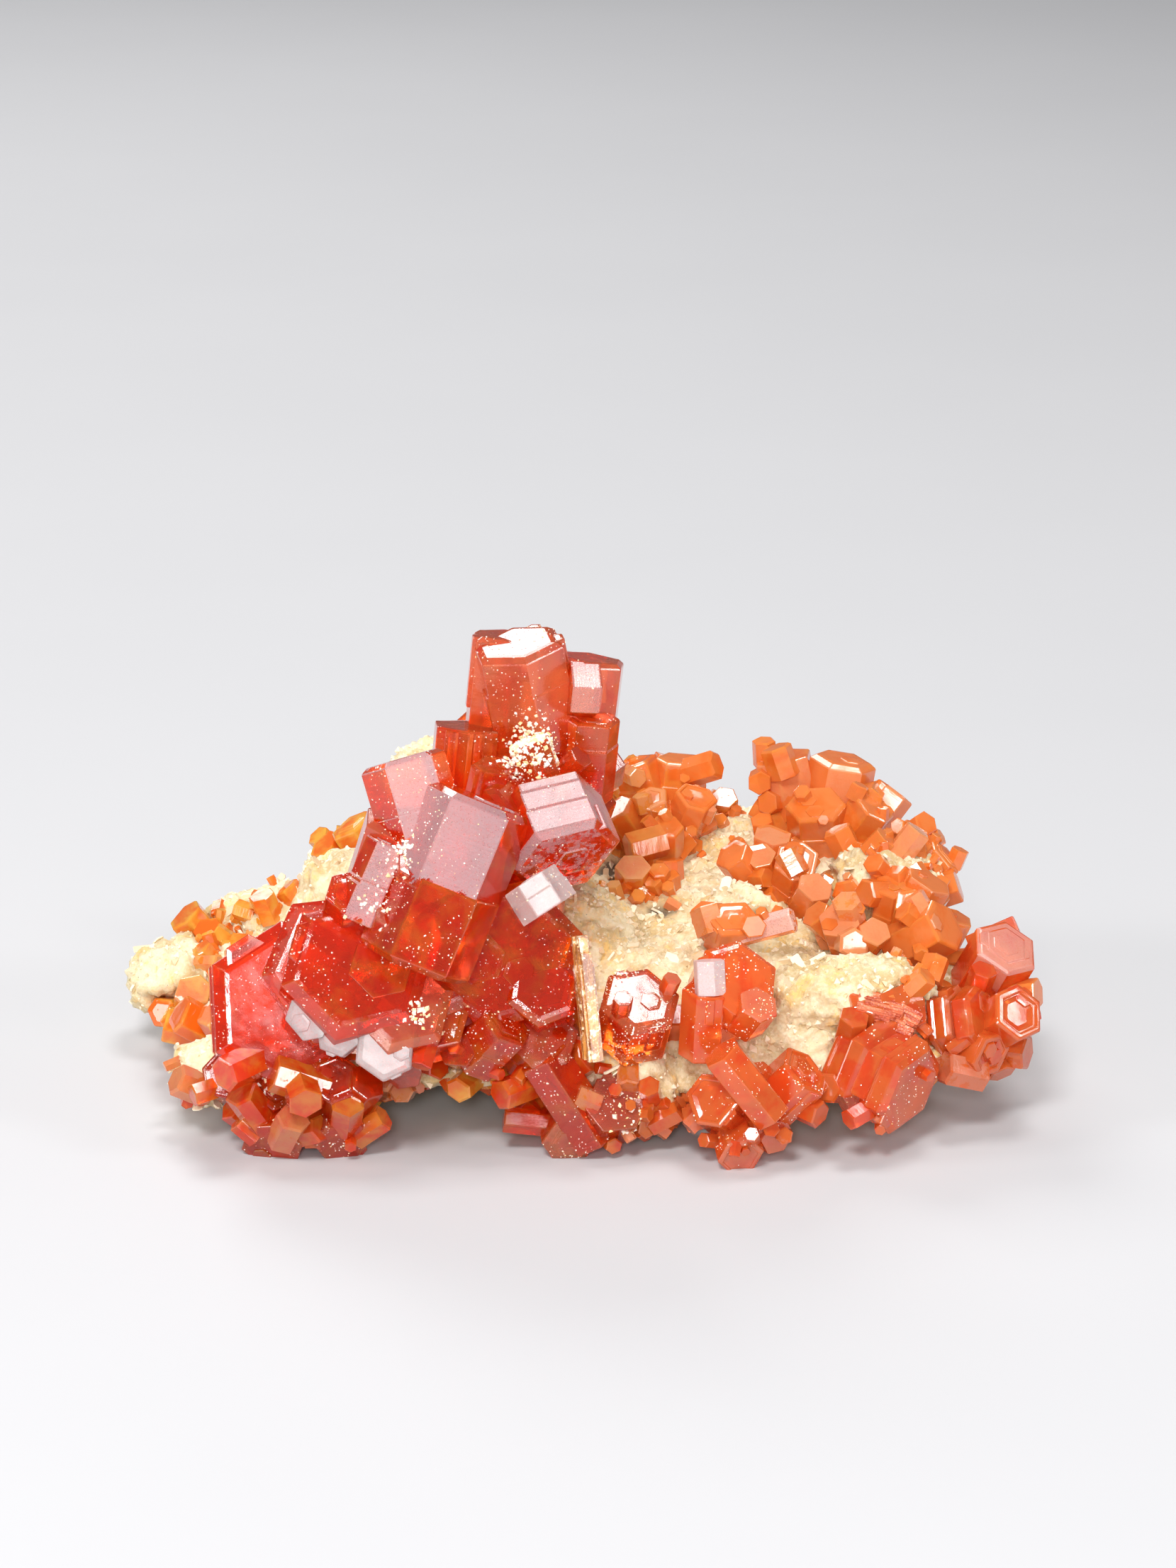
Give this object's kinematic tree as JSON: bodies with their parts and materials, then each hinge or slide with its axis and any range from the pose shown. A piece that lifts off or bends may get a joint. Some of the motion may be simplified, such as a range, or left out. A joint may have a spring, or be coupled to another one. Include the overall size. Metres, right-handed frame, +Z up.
{
  "type": "vanadinite crystals on baryte matrix",
  "caption": "Mineral specimen: glossy red-orange hexagonal vanadinite crystals grown in clusters over a rough slab of cream baryte, for display or study.",
  "frame": {"origin": "centre of the bounding box in plan, on the plane that the specimen rests on", "axes": "+X to the specimen's right seen from its front, +Y from its front to its back, +Z up"},
  "size_m": [0.052, 0.0358, 0.0273],
  "materials": {
    "vanadinite": "deep red, glassy to resinous, partly see-through, with frosted and dusted faces",
    "orange_vanadinite": "orange to pinkish orange, glassy, partly see-through, lightly dusted",
    "crusted_baryte": "brown-gold blade with a rough white and gold glittering crust",
    "baryte": "cream, rough, sugary and bladed, with yellow-orange iron stains and dark pockets"
  },
  "bodies": {
    "root": {"tower": "vanadinite", "crusted_blade": "crusted_baryte", "dusty_crystal": "vanadinite", "centre_group": "vanadinite", "right_foot": "vanadinite", "barrel_group": "vanadinite", "right_rim": "vanadinite", "rim_crystal": "orange_vanadinite", "mid_right_group": "orange_vanadinite", "mid_front_pair": "orange_vanadinite", "level_prism_pair": "orange_vanadinite", "mid_back_group": "orange_vanadinite", "back_left_group": "orange_vanadinite", "pit_crystal": "orange_vanadinite", "back_right_group": "orange_vanadinite", "side_rim_group": "orange_vanadinite", "left_tip_pair": "orange_vanadinite", "left_knob_crystal": "orange_vanadinite", "back_left_pair": "orange_vanadinite", "far_edge_left": "orange_vanadinite", "far_edge_middle": "orange_vanadinite", "far_edge_right": "orange_vanadinite", "low_left_pair": "orange_vanadinite", "matrix": "baryte"}
  },
  "joints": []
}
